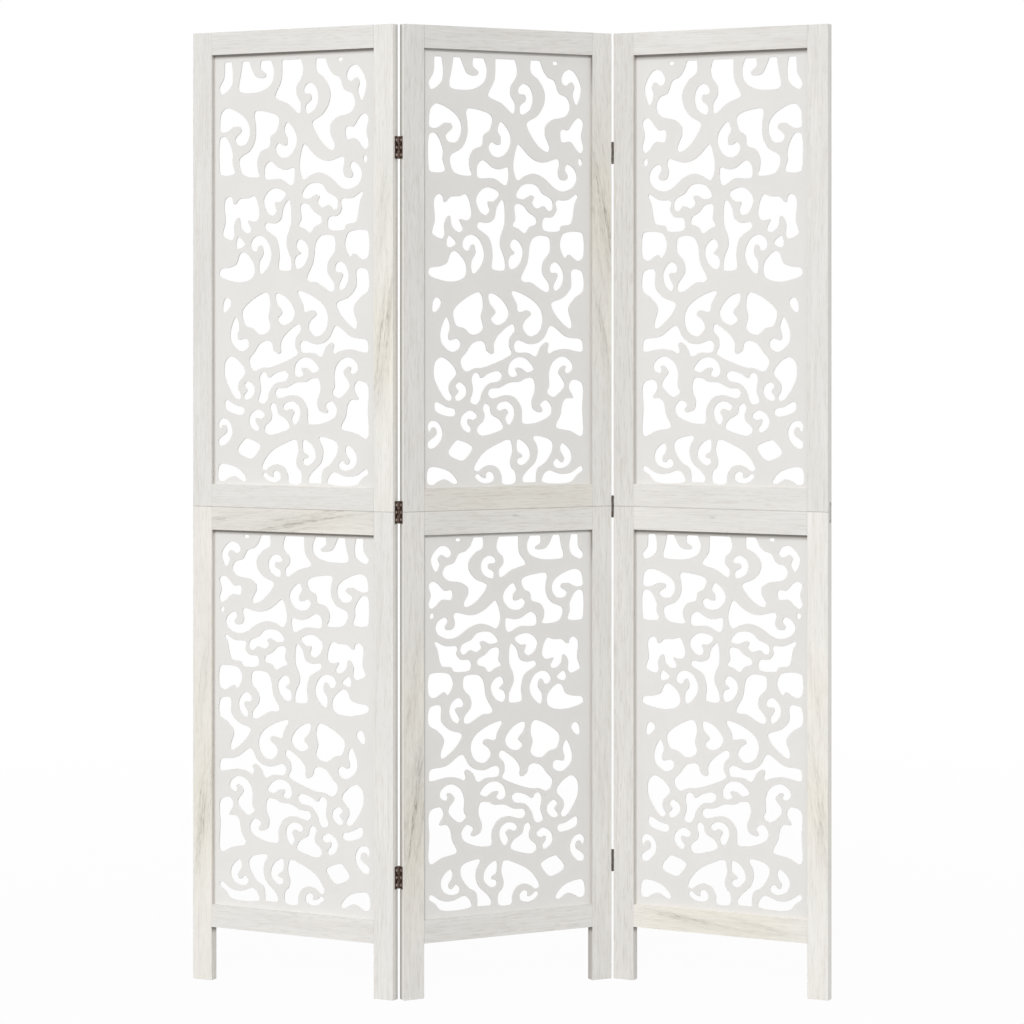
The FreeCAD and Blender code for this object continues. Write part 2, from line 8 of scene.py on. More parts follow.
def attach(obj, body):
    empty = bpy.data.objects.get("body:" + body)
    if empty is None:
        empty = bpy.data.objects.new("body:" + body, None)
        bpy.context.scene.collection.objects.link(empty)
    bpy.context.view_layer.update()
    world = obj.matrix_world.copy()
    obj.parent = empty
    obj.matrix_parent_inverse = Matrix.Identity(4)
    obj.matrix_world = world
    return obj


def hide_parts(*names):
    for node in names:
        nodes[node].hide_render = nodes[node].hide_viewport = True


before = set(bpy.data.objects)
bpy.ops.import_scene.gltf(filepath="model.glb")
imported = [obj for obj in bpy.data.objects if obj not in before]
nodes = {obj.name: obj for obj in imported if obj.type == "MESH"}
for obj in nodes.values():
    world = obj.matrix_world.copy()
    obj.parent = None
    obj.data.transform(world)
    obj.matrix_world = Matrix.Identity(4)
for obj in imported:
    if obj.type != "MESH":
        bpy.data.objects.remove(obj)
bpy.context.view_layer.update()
print("frame loaded:", len(nodes), "nodes")

screenPose = {"halfFold": math.radians(27), "turns": {"left": -1, "middle": 1, "right": -1}}
panelNames = ["left", "middle", "right"]
halfNames = ["upper", "lower"]
upward = Vector((0, 0, 1))


def panelTurn(panel):
    return screenPose["turns"][panel] * screenPose["halfFold"]


def panelAxes(panel):
    turn = Matrix.Rotation(panelTurn(panel), 3, "Z")
    return turn @ Vector((1, 0, 0)), turn @ Vector((0, 1, 0))


def localBox(node, panel):
    # a node's corners along its own panel: across, through, up
    across, through = panelAxes(panel)
    spots = [Vector((v.co.dot(across), v.co.dot(through), v.co.z)) for v in nodes[node].data.vertices]
    low = Vector([min(s[i] for s in spots) for i in range(3)])
    high = Vector([max(s[i] for s in spots) for i in range(3)])
    return low, high


# piece helpers

def addPiece(name, data):
    piece = bpy.data.objects.new(name, data)
    bpy.context.scene.collection.objects.link(piece)
    return piece


def giveFinish(piece, material):
    piece.data.materials.clear()
    piece.data.materials.append(material)


easedEdges = {"steps": 2, "angle": math.radians(30), "weld": 0.000005, "flatWeight": 100}


def easeEdges(piece, ease):
    weld = piece.modifiers.new("weld", "WELD")
    weld.merge_threshold = easedEdges["weld"]
    rounding = piece.modifiers.new("ease", "BEVEL")
    rounding.width = ease
    rounding.segments = easedEdges["steps"]
    rounding.limit_method = "ANGLE"
    rounding.angle_limit = easedEdges["angle"]
    evened = piece.modifiers.new("shade", "WEIGHTED_NORMAL")
    evened.weight = easedEdges["flatWeight"]


# shader helpers; in the settings below a noise is its scale, detail and roughness,
# and a mask is where it starts and ends, then what it runs from and to

def addNode(tree, kind, **settings):
    node = tree.nodes.new(kind)
    for key, value in settings.items():
        setattr(node, key, value)
    return node


def plug(tree, value, socket):
    if isinstance(value, bpy.types.NodeSocket):
        tree.links.new(value, socket)
    else:
        socket.default_value = value


def objectSpot(tree):
    return addNode(tree, "ShaderNodeTexCoord").outputs["Object"]


def apart(tree, vector):
    node = addNode(tree, "ShaderNodeSeparateXYZ")
    tree.links.new(vector, node.inputs[0])
    return node.outputs


def maths(tree, operation, first, second=0.0, third=0.0, clamp=False):
    node = addNode(tree, "ShaderNodeMath", operation=operation, use_clamp=clamp)
    for value, socket in zip((first, second, third), node.inputs):
        plug(tree, value, socket)
    return node.outputs[0]


def stretch(tree, vector, scale, turn=(0, 0, 0), shift=(0, 0, 0)):
    node = addNode(tree, "ShaderNodeMapping")
    plug(tree, vector, node.inputs["Vector"])
    node.inputs["Scale"].default_value = scale
    node.inputs["Rotation"].default_value = turn
    node.inputs["Location"].default_value = shift
    return node.outputs[0]


def noise(tree, vector, scale, detail=2.0, roughness=0.5):
    node = addNode(tree, "ShaderNodeTexNoise")
    plug(tree, vector, node.inputs["Vector"])
    node.inputs["Scale"].default_value = scale
    node.inputs["Detail"].default_value = detail
    node.inputs["Roughness"].default_value = roughness
    return node.outputs[0]


def ramp(tree, value, low, high, outLow=0.0, outHigh=1.0):
    node = addNode(tree, "ShaderNodeMapRange", interpolation_type="SMOOTHSTEP")
    plug(tree, value, node.inputs[0])
    for socket, number in zip(node.inputs[1:5], (low, high, outLow, outHigh)):
        plug(tree, number, socket)
    return node.outputs[0]


def lineMask(tree, value, at, near, far):
    # full within near of a place, nothing beyond far
    away = maths(tree, "ABSOLUTE", maths(tree, "SUBTRACT", value, at))
    return ramp(tree, away, far, near)


def fading(tree, value):
    # a bell that falls away on both sides of zero
    return maths(tree, "EXPONENT", maths(tree, "MULTIPLY", maths(tree, "MULTIPLY", value, value), -1.0))


def mixColour(tree, factor, first, second, blend="MIX"):
    node = addNode(tree, "ShaderNodeMix", data_type="RGBA", blend_type=blend)
    plug(tree, factor, node.inputs[0])
    plug(tree, first, node.inputs[6])
    plug(tree, second, node.inputs[7])
    return node.outputs[2]


def newGroup(name, inputs, outputs):
    tree = bpy.data.node_groups.new(name, "ShaderNodeTree")
    for label, kind, value in inputs:
        socket = tree.interface.new_socket(label, in_out="INPUT", socket_type=kind)
        if value is not None:
            socket.default_value = value
    for label, kind in outputs:
        tree.interface.new_socket(label, in_out="OUTPUT", socket_type=kind)
    return tree, addNode(tree, "NodeGroupInput"), addNode(tree, "NodeGroupOutput")


def placeGroup(tree, group, vector):
    node = addNode(tree, "ShaderNodeGroup", node_tree=group)
    tree.links.new(vector, node.inputs["Vector"])
    return node


def newMaterial(name):
    material = bpy.data.materials.new(name)
    material.use_nodes = True
    tree = material.node_tree
    return material, tree, tree.nodes["Principled BSDF"]


def bumpTo(tree, shader, height, strength, distance):
    bump = addNode(tree, "ShaderNodeBump")
    bump.inputs["Strength"].default_value = strength
    bump.inputs["Distance"].default_value = distance
    tree.links.new(height, bump.inputs["Height"])
    tree.links.new(bump.outputs[0], shader.inputs["Normal"])


# limed wood: across the board is x, through it y, along the grain z, from the board's middle

limedWood = {
    "lime": (0.80, 0.785, 0.755, 1), "yellow": (0.80, 0.765, 0.645, 1),
    "grain": (0.50, 0.455, 0.40, 1), "mark": (0.27, 0.25, 0.205, 1),
    "ringPitch": 0.0075, "ringPower": 3.0, "wander": 0.028, "seedSteps": (1.37, 0.71, 2.13),
    "roughness": 0.60, "rougher": 0.25, "specular": 0.35, "bump": 0.25, "relief": 0.0004,
    "lineShare": 0.70, "fleckShare": 0.62,
    "nextSpan": 0.6, "nextWide": 0.007, "nextShare": 0.70, "nextYellow": 0.5,  # the weaker band beside a streak
}

# how far each layer is drawn out along the grain, its scale, detail and roughness
grainLayers = {
    "wander": (0.16, 11, 2, 0.5), "fibre": (0.014, 620, 3, 0.6), "pores": (0.030, 330, 2, 0.5),
    "drift": (0.30, 17, 3, 0.5), "brush": (0.05, 120, 3, 0.6), "dashes": (0.10, 430, 2, 0.55),
    "lines": (0.045, 135, 2, 0.5), "flecks": (0.16, 400, 3, 0.62),
}

# where each layer starts and ends to show
grainEdges = {
    "fibre": (0.35, 0.75), "pores": (0.60, 0.74), "brush": (0.40, 0.75), "dashes": (0.48, 0.68),
    "lines": (0.44, 0.62), "flecks": (0.44, 0.62), "figure": (0.30, 0.70),
    "yellow": (0.25, 0.65, 0.35, 1.0), "tone": (0.2, 0.8, 0.965, 1.03),
}
grainShares = {"figure": 0.14, "fibre": 0.13, "pores": 0.10, "brush": 0.12}
grainHeights = {"fibre": 0.5, "pores": -0.6, "rings": -0.2}

# what a board may set for itself
grainInputs = {
    "Seed": 0.0, "Pith": 0.03, "Rise": 0.02, "Figure": 0.5, "Streak": 0.0, "StreakAt": 0.0, "StreakSpan": 0.1,
    "StreakSide": 0.0, "StreakWide": 0.03, "StreakLean": 0.0, "StreakNext": 0.2, "Yellow": 0.0, "Warm": 0.0,
    "ToneAndShade": 1.0, "Dash": 0.17,
}


def grainLayer(tree, spot, name):
    along, scale, detail, roughness = grainLayers[name]
    return noise(tree, stretch(tree, spot, (1, 1, along)), scale, detail, roughness)


def makeLimedGrain():
    inputs = [("Vector", "NodeSocketVector", None)]
    inputs += [(label, "NodeSocketFloat", value) for label, value in grainInputs.items()]
    tree, start, end = newGroup(
        "limedGrain", inputs,
        [("Color", "NodeSocketColor"), ("Roughness", "NodeSocketFloat"), ("Height", "NodeSocketFloat")])
    given = start.outputs
    across, through, along = apart(tree, given["Vector"])
    seedShift = addNode(tree, "ShaderNodeCombineXYZ")
    for socket, factor in zip(seedShift.inputs, limedWood["seedSteps"]):
        plug(tree, maths(tree, "MULTIPLY", given["Seed"], factor), socket)
    moved = addNode(tree, "ShaderNodeVectorMath", operation="ADD")
    tree.links.new(given["Vector"], moved.inputs[0])
    tree.links.new(seedShift.outputs[0], moved.inputs[1])
    wander, fibre, pores, drift, brush, dashes = (
        grainLayer(tree, moved.outputs[0], name)
        for name in ("wander", "fibre", "pores", "drift", "brush", "dashes"))
    # year rings cut by the board's face, wandering along its length
    sway = maths(tree, "MULTIPLY_ADD", wander, limedWood["wander"], -limedWood["wander"] / 2)
    ringX = maths(tree, "ADD", across, sway)
    ringY = maths(tree, "ADD", through, maths(tree, "MULTIPLY_ADD", along, given["Rise"], given["Pith"]))
    squares = [maths(tree, "MULTIPLY", side, side) for side in (ringX, ringY)]
    radius = maths(tree, "SQRT", maths(tree, "ADD", squares[0], squares[1]))
    wave = maths(tree, "SINE", maths(tree, "MULTIPLY", radius, 2 * math.pi / limedWood["ringPitch"]))
    rings = maths(tree, "POWER", maths(tree, "MULTIPLY_ADD", wave, 0.5, 0.5), limedWood["ringPower"])
    # a leaning band of dark flecks, and a weaker one further along
    ahead = maths(tree, "SUBTRACT", along, given["StreakAt"])
    leaning = maths(tree, "MULTIPLY_ADD", ahead, given["StreakLean"], across)
    aside = maths(tree, "SUBTRACT", leaning, given["StreakSide"])
    near = fading(tree, maths(tree, "DIVIDE", ahead, given["StreakSpan"]))
    band = maths(tree, "MULTIPLY", near, fading(tree, maths(tree, "DIVIDE", aside, given["StreakWide"])))
    further = maths(tree, "SUBTRACT", ahead, given["StreakNext"])
    besides = maths(tree, "MULTIPLY_ADD", further, given["StreakLean"], across)
    nextSpan = maths(tree, "MULTIPLY", given["StreakSpan"], limedWood["nextSpan"])
    beyond = fading(tree, maths(tree, "DIVIDE", further, nextSpan))
    faint = maths(tree, "MULTIPLY", beyond, fading(tree, maths(tree, "DIVIDE", besides, limedWood["nextWide"])))
    slanted = addNode(tree, "ShaderNodeCombineXYZ")
    for value, socket in zip((maths(tree, "ADD", aside, given["Seed"]), through, ahead), slanted.inputs):
        tree.links.new(value, socket)
    broken = []
    for name, share in (("lines", limedWood["lineShare"]), ("flecks", limedWood["fleckShare"])):
        layer = ramp(tree, grainLayer(tree, slanted.outputs[0], name), *grainEdges[name])
        broken.append(maths(tree, "MULTIPLY_ADD", layer, share, 1 - share))
    flecked = maths(tree, "MULTIPLY", broken[0], broken[1])
    streaks = maths(tree, "MULTIPLY_ADD", faint, limedWood["nextShare"], band)
    streaks = maths(tree, "MULTIPLY", streaks, given["Streak"])
    streaks = maths(tree, "MULTIPLY", streaks, flecked, clamp=True)
    # how much wood shows through
    figure = maths(tree, "MULTIPLY", rings, ramp(tree, drift, *grainEdges["figure"]))
    pores = ramp(tree, pores, *grainEdges["pores"])
    shown = maths(tree, "MULTIPLY", maths(tree, "MULTIPLY", figure, given["Figure"]), grainShares["figure"])
    shown = maths(tree, "MULTIPLY_ADD", ramp(tree, fibre, *grainEdges["fibre"]), grainShares["fibre"], shown)
    shown = maths(tree, "MULTIPLY_ADD", pores, grainShares["pores"], shown)
    shown = maths(tree, "MULTIPLY_ADD", ramp(tree, dashes, *grainEdges["dashes"]), given["Dash"], shown)
    brush = ramp(tree, brush, *grainEdges["brush"])
    shown = maths(tree, "MULTIPLY_ADD", brush, grainShares["brush"], shown, clamp=True)
    yellowed = maths(tree, "MULTIPLY_ADD", beyond, limedWood["nextYellow"], near)
    yellowed = maths(tree, "MULTIPLY", yellowed, given["Yellow"])
    yellowed = maths(tree, "MULTIPLY", yellowed, ramp(tree, drift, *grainEdges["yellow"]))
    yellowed = maths(tree, "ADD", yellowed, given["Warm"], clamp=True)
    colour = mixColour(tree, yellowed, limedWood["lime"], limedWood["yellow"])
    colour = mixColour(tree, shown, colour, limedWood["grain"])
    colour = mixColour(tree, streaks, colour, limedWood["mark"])
    # the board's tone, partly painted shade on the middle panel
    tone = maths(tree, "MULTIPLY", ramp(tree, drift, *grainEdges["tone"]), given["ToneAndShade"])
    grey = addNode(tree, "ShaderNodeCombineColor")
    for socket in grey.inputs:
        tree.links.new(tone, socket)
    tree.links.new(mixColour(tree, 1.0, colour, grey.outputs[0], "MULTIPLY"), end.inputs["Color"])
    rough = maths(tree, "MULTIPLY_ADD", shown, limedWood["rougher"], limedWood["roughness"])
    tree.links.new(rough, end.inputs["Roughness"])
    height = maths(tree, "MULTIPLY", fibre, grainHeights["fibre"])
    height = maths(tree, "MULTIPLY_ADD", pores, grainHeights["pores"], height)
    tree.links.new(maths(tree, "MULTIPLY_ADD", rings, grainHeights["rings"], height), end.inputs["Height"])
    return tree


# an eased edge where the finish wears thin; on the outer sides of some boards it also carries a painted
# highlight

wornEdge = {"width": 0.0015, "samples": 6, "lean": (0.995, 0.86),
            "patchNoise": (85, 3, 0.6), "patches": (0.38, 0.66)}


def makeEdgeWear():
    tree, start, end = newGroup(
        "edgeWearAndHighlight", [("Vector", "NodeSocketVector", None), ("Width", "NodeSocketFloat", wornEdge["width"])],
        [("Mask", "NodeSocketFloat")])
    rounded = addNode(tree, "ShaderNodeBevel", samples=wornEdge["samples"])
    tree.links.new(start.outputs["Width"], rounded.inputs["Radius"])
    face = addNode(tree, "ShaderNodeNewGeometry")
    lean = addNode(tree, "ShaderNodeVectorMath", operation="DOT_PRODUCT")
    tree.links.new(rounded.outputs[0], lean.inputs[0])
    tree.links.new(face.outputs["True Normal"], lean.inputs[1])
    edge = ramp(tree, lean.outputs["Value"], *wornEdge["lean"])
    patchy = ramp(tree, noise(tree, start.outputs["Vector"], *wornEdge["patchNoise"]), *wornEdge["patches"])
    tree.links.new(maths(tree, "MULTIPLY", edge, patchy), end.inputs["Mask"])
    return tree


limedGrain = makeLimedGrain()
edgeWearAndHighlight = makeEdgeWear()
print("shared grain and edge wear made")

# what single boards show: where along them, from their middle, and how strongly; a board's tone is partly its
# own and, on the middle panel, partly painted shade
boardMarks = {
    "left_upper_left_stile": {"inner": 0.42},
    "left_upper_right_stile": {"Streak": 0.66, "StreakAt": -0.122, "StreakSpan": 0.115, "StreakWide": 0.014,
                               "StreakLean": -0.125, "StreakNext": 0.22, "Yellow": 0.5, "Warm": 0.06,
                               "ToneAndShade": 1.08, "back": 0.32, "limed": 0.4},
    "left_lower_left_stile": {"Streak": 0.7, "StreakAt": -0.100, "StreakSpan": 0.115, "StreakSide": 0.003,
                              "StreakWide": 0.015, "StreakLean": -0.12, "StreakNext": 0.20, "Yellow": 0.4,
                              "Warm": 0.18, "ToneAndShade": 1.07, "inner": 0.42},
    "left_lower_right_stile": {"ToneAndShade": 1.035, "back": 0.32, "limed": 0.4},
    "left_lower_top_rail": {"Streak": 0.68, "StreakAt": -0.030, "StreakSpan": 0.12, "StreakSide": 0.0013,
                            "StreakWide": 0.016, "StreakLean": 0.165, "StreakNext": 0.163, "Yellow": 0.25,
                            "Warm": 0.16, "ToneAndShade": 1.03},
    "left_lower_bottom_rail": {"ToneAndShade": 1.02},
    "middle_upper_left_stile": {"ToneAndShade": 0.92, "Dash": 0.22, "back": 1.0, "limed": 0.9},
    "middle_upper_right_stile": {"Streak": 0.85, "StreakAt": 0.110, "StreakSpan": 0.12, "StreakWide": 0.019,
                                 "StreakLean": 0.17, "StreakNext": -0.22, "Yellow": 0.65, "ToneAndShade": 0.955,
                                 "Dash": 0.22, "inner": 0.5},
    "middle_upper_bottom_rail": {"Warm": 0.34, "ToneAndShade": 0.91, "Dash": 0.22},
    "middle_upper_top_rail": {"ToneAndShade": 0.915, "Dash": 0.22},
    "middle_lower_left_stile": {"Streak": 0.8, "StreakAt": -0.110, "StreakSpan": 0.13, "StreakSide": 0.0015,
                                "StreakWide": 0.018, "StreakLean": -0.148, "StreakNext": 0.225, "Yellow": 0.7,
                                "Warm": 0.06, "ToneAndShade": 0.955, "Dash": 0.22, "back": 1.0, "limed": 0.9},
    "middle_lower_right_stile": {"inner": 0.6, "ToneAndShade": 0.945, "Dash": 0.22},
    "middle_lower_bottom_rail": {"ToneAndShade": 0.925, "Dash": 0.22},
    "middle_lower_top_rail": {"Streak": 1.2, "StreakAt": -0.011, "StreakSpan": 0.005, "StreakSide": 0.0096,
                              "StreakWide": 0.002, "Warm": 0.08, "ToneAndShade": 0.92, "Dash": 0.22},
    "right_upper_left_stile": {"ToneAndShade": 0.93, "Dash": 0.26, "inner": 0.42},
    "right_upper_right_stile": {"ToneAndShade": 1.02, "back": 0.0, "limed": 0.35},
    "right_lower_left_stile": {"ToneAndShade": 0.96, "Dash": 0.26, "inner": 0.42},
    "right_lower_top_rail": {"Streak": 1.2, "StreakAt": 0.013, "StreakSpan": 0.005, "StreakSide": 0.005,
                             "StreakWide": 0.002},
    "right_lower_right_stile": {"Streak": 0.46, "StreakAt": -0.090, "StreakSpan": 0.11, "StreakSide": -0.001,
                                "StreakWide": 0.014, "StreakLean": 0.145, "StreakNext": 0.20, "Yellow": 0.4,
                                "Warm": 0.05, "ToneAndShade": 1.10, "back": 0.0, "limed": 0.35},
    "right_lower_bottom_rail": {"Streak": 0.62, "StreakAt": 0.036, "StreakSpan": 0.12, "StreakWide": 0.0065,
                                "StreakLean": -0.135, "StreakNext": -0.105, "Yellow": 0.5, "Warm": 0.10,
                                "ToneAndShade": 1.065},
}

# how the grain differs from board to board
boardSpread = {"seed": 1.0, "seedStep": 0.619, "pith": 0.018, "pithStep": 0.012, "figure": 0.45,
               "figureStep": 0.11, "railFigure": 0.5, "rises": (0.05, -0.03, 0.02, -0.06)}

# where the lime is thin or thick: the seam, the rails' ends and the worn edges; and the painted shade and light
# on the sides of the boards and in the corners under the rails
bareWood = {
    # the stain colour is bare wood and painted shade, the shade and corner colours are painted shade, and the
    # palest colour is a painted highlight
    "stainAndShade": (0.43, 0.385, 0.33, 1), "dark": (0.22, 0.175, 0.13, 1), "shade": (0.34, 0.32, 0.29, 1),
    "corner": (0.20, 0.17, 0.14, 1), "litEdge": (0.97, 0.96, 0.93, 1),
    "seamHeight": 0.825, "seamLine": (0.0004, 0.0009), "seamShare": 0.5, "seamFaint": 0.6,
    "seamNoise": (60, 2), "seamPatches": (0.3, 0.6),
    "jointAt": 0.162, "jointLine": (0.0003, 0.0008), "jointShares": {"left": 0.2, "middle": 0.3, "right": 0.2},
    # the inner and back settings paint shade on the sides of the boards, the inner one mixed with bare wood;
    # the limed depth paints light on the front of the outer sides
    "inner": 0.22, "innerDepth": (-0.008, 0.008, 0.45, 1.15), "back": 0.12, "backDepth": (-0.002, 0.0075),
    "frontLightDepth": (0.002, -0.005), "worn": 0.06, "wearWidth": 0.0016, "facing": (0.6, 0.95),
    "legTop": 0.093, "legBlend": 0.001, "legShares": {"left": 0.26, "middle": 1.0, "right": 0.10},
    # painted shadow in the corners under the rails: how strong it is and how far it reaches
    "headShare": 0.72, "headReach": 0.088, "footShare": 0.92, "footReach": 0.013, "footEnd": 0.0005,
}


def facingMask(tree, direction):
    lean = addNode(tree, "ShaderNodeVectorMath", operation="DOT_PRODUCT")
    tree.links.new(addNode(tree, "ShaderNodeTexCoord").outputs["Normal"], lean.inputs[0])
    lean.inputs[1].default_value = direction
    return ramp(tree, lean.outputs["Value"], *bareWood["facing"])


def placeGrain(tree, board, marks, upright, number):
    grain = placeGroup(tree, limedGrain, board)
    figure = boardSpread["figure"] + boardSpread["figureStep"] * ((number * 3) % 4)
    settings = {
        "Seed": boardSpread["seed"] + boardSpread["seedStep"] * number,
        "Pith": boardSpread["pith"] + boardSpread["pithStep"] * ((number * 7) % 5),
        "Rise": boardSpread["rises"][number % 4],
        "Figure": figure * (1 if upright else boardSpread["railFigure"]),
    }
    settings.update({label: value for label, value in marks.items() if label in grainInputs})
    for label, value in settings.items():
        grain.inputs[label].default_value = value
    return grain


def cornerShadeMask(tree, height, node, panel, member):
    # painted shadow: the corners under the rails are darkened, and on the middle panel's right stile the wall
    # below the top rail
    foot = bareWood["legTop"]
    corner = ramp(tree, height, foot - bareWood["footReach"], foot, 0.0, bareWood["footShare"])
    corner = maths(tree, "MULTIPLY", corner, maths(tree, "LESS_THAN", height, foot + bareWood["footEnd"]))
    if panel == "middle" and member == "right_stile":
        head = localBox(node.replace("right_stile", "top_rail"), panel)[0].z
        shade = ramp(tree, height, head - bareWood["headReach"], head, 0.0, bareWood["headShare"])
        corner = maths(tree, "ADD", corner, shade, clamp=True)
    return corner


def seamMask(tree, here, height, across, panel, upright):
    # the seam between the halves, and the joints at the ends of the rails
    share = bareWood["seamShare"]
    patchy = noise(tree, here, *bareWood["seamNoise"])
    patchy = ramp(tree, patchy, *bareWood["seamPatches"], bareWood["seamFaint"] * share, share)
    line = lineMask(tree, height, bareWood["seamHeight"], *bareWood["seamLine"])
    line = maths(tree, "MULTIPLY", line, patchy)
    if not upright:
        end = lineMask(tree, maths(tree, "ABSOLUTE", across), bareWood["jointAt"], *bareWood["jointLine"])
        line = maths(tree, "MULTIPLY_ADD", end, bareWood["jointShares"][panel], line, clamp=True)
    return line


def woodFor(node, panel, member, number):
    marks = boardMarks.get(node, {})
    upright = "stile" in member
    side = panelAxes(panel)[0]
    inward = {"left_stile": side, "right_stile": -side, "bottom_rail": upward, "top_rail": -upward}[member]
    low, high = localBox(node, panel)
    material, tree, shader = newMaterial("limedWood_" + node)
    here = objectSpot(tree)
    height = apart(tree, here)[2]
    flat = stretch(tree, here, (1, 1, 1), (0, 0, -panelTurn(panel)), -(low + high) / 2)
    across, through = apart(tree, flat)[:2]
    board = stretch(tree, flat, (1, 1, 1), (0, 0 if upright else math.pi / 2, 0))
    grain = placeGrain(tree, board, marks, upright, number)
    wear = placeGroup(tree, edgeWearAndHighlight, board)
    wear.inputs["Width"].default_value = bareWood["wearWidth"]
    # the sides round the opening darken towards the back, more so above the legs: partly bare wood where the
    # lime is thin, partly painted shade in the recess
    opening = facingMask(tree, inward)
    innerShare = 0.0 if member == "bottom_rail" else marks.get("inner", bareWood["inner"])
    inner = maths(tree, "MULTIPLY", opening, ramp(tree, through, *bareWood["innerDepth"]))
    aboveLeg = ramp(tree, height, bareWood["legTop"] - bareWood["legBlend"], bareWood["legTop"],
                    innerShare * bareWood["legShares"][panel], innerShare)
    inner = maths(tree, "MULTIPLY", inner, aboveLeg)
    thinLimeAndShade = maths(tree, "MULTIPLY_ADD", wear.outputs["Mask"], bareWood["worn"], inner, clamp=True)
    # painted shade and light: the outer sides are darkened towards the back as painted shade, and some are
    # lightened towards the front and on their eased edges as a painted highlight
    outward = facingMask(tree, -inward)
    backShade = maths(tree, "MULTIPLY", outward, ramp(tree, through, *bareWood["backDepth"]))
    backShade = maths(tree, "MULTIPLY", backShade, marks.get("back", bareWood["back"]))
    # painted highlight: the front of some outer sides and their eased edges are lightened
    limed = marks.get("limed", 0.0)
    paintedLight = maths(tree, "MULTIPLY", outward, ramp(tree, through, *bareWood["frontLightDepth"], 0.0, limed))
    paintedLight = maths(tree, "MAXIMUM", paintedLight, maths(tree, "MULTIPLY", wear.outputs["Mask"], limed))
    colour = mixColour(tree, paintedLight, grain.outputs["Color"], bareWood["litEdge"])
    # worn edges show the stain; the sides round the opening show it as stain and painted shade
    colour = mixColour(tree, thinLimeAndShade, colour, bareWood["stainAndShade"])
    if upright:
        # painted shadow in the corners under the rails
        corner = maths(tree, "MULTIPLY", cornerShadeMask(tree, height, node, panel, member), opening)
        colour = mixColour(tree, corner, colour, bareWood["corner"])
    # painted shade at the back of the outer sides
    colour = mixColour(tree, backShade, colour, bareWood["shade"])
    colour = mixColour(tree, seamMask(tree, here, height, across, panel, upright), colour, bareWood["dark"])
    tree.links.new(colour, shader.inputs["Base Color"])
    tree.links.new(grain.outputs["Roughness"], shader.inputs["Roughness"])
    bumpTo(tree, shader, grain.outputs["Height"], limedWood["bump"], limedWood["relief"])
    shader.inputs["Specular IOR Level"].default_value = limedWood["specular"]
    return material


frameBoards = {"members": ("left_stile", "right_stile", "bottom_rail", "top_rail"), "ease": 0.00045}
boardNumber = 0
for panel in panelNames:
    for half in halfNames:
        for member in frameBoards["members"]:
            name = panel + "_" + half + "_" + member
            giveFinish(nodes[name], woodFor(name, panel, member, boardNumber))
            easeEdges(nodes[name], frameBoards["ease"])
            boardNumber += 1
print("frame boards finished:", boardNumber)


# bare beech of the hidden tenons

bareBeech = {"light": (0.55, 0.38, 0.22, 1), "dark": (0.40, 0.25, 0.13, 1), "fleckLength": 0.08,
             "fleckNoise": (600, 3), "flecks": (0.4, 0.7), "roughness": 0.7, "bump": 0.2, "relief": 0.0003}
beech, tree, shader = newMaterial("bareBeech")
flecks = stretch(tree, objectSpot(tree), (1, 1, bareBeech["fleckLength"]))
flecks = noise(tree, flecks, *bareBeech["fleckNoise"])
shown = ramp(tree, flecks, *bareBeech["flecks"])
tree.links.new(mixColour(tree, shown, bareBeech["light"], bareBeech["dark"]), shader.inputs["Base Color"])
shader.inputs["Roughness"].default_value = bareBeech["roughness"]
bumpTo(tree, shader, flecks, bareBeech["bump"], bareBeech["relief"])
for panel in panelNames:
    giveFinish(nodes[panel + "_tenons"], beech)
print("tenons finished")


# scroll boards: the cut runs smoothly through the corners of the CAD outline

scrollCut = {
    "steps": 6, "arris": 0.00035, "arrisSteps": 1, "straight": 0.00002, "runOut": 0.3,
    "corner": math.radians(35), "round": 0.0026, "roundShare": 0.42, "roundSteps": 5, "clear": 0.0002,
    "sharp": math.radians(32), "merge": 0.000002, "join": 0.0000003, "attempts": 6, "nudge": 0.0000002,
    "facing": 0.99, "leastKnot": 1e-6, "leastSide": 1e-7, "leastSpan": 1e-9, "leastGap": 1e-6,
}


def boardLoops(node, panel):
    # the outlines of a board's front face, as points across and up, and the board's front and back
    across, through = panelAxes(panel)
    shape = bmesh.new()
    shape.from_mesh(nodes[node].data)
    bmesh.ops.remove_doubles(shape, verts=shape.verts, dist=scrollCut["merge"])
    shape.normal_update()
    front = {face for face in shape.faces if face.normal.dot(through) < -scrollCut["facing"]}
    depths = [vert.co.dot(through) for vert in shape.verts]
    follows = {}
    for edge in shape.edges:
        if sum(face in front for face in edge.link_faces) == 1:
            for one, other in (edge.verts, reversed(edge.verts)):
                follows.setdefault(one, []).append(other)
    loops = []
    waiting = set(follows)
    while waiting:
        first = min(waiting, key=lambda vert: vert.index)
        loop = [first]
        waiting.remove(first)
        while True:
            ahead = [vert for vert in follows[loop[-1]] if vert in waiting]
            if not ahead:
                break
            loop.append(ahead[0])
            waiting.remove(ahead[0])
        loops.append([Vector((vert.co.dot(across), vert.co.z)) for vert in loop])
    shape.free()
    return loops, min(depths), max(depths)


def sawLine(before, start, finish, after, steps):
    # centripetal spline from start to finish
    knots = [0.0]
    for one, other in ((before, start), (start, finish), (finish, after)):
        knots.append(knots[-1] + math.sqrt(max((other - one).length, scrollCut["leastKnot"])))
    line = []
    for step in range(steps):
        t = knots[1] + (knots[2] - knots[1]) * step / steps
        rows = [before, start, finish, after]
        for level in (1, 2, 3):
            nextRows = []
            for i in range(4 - level):
                left, right = (knots[i], knots[i + level]) if level < 3 else (knots[1], knots[2])
                nextRows.append(rows[i].lerp(rows[i + 1], (t - left) / (right - left)))
            rows = nextRows
        line.append(rows[0])
    return line


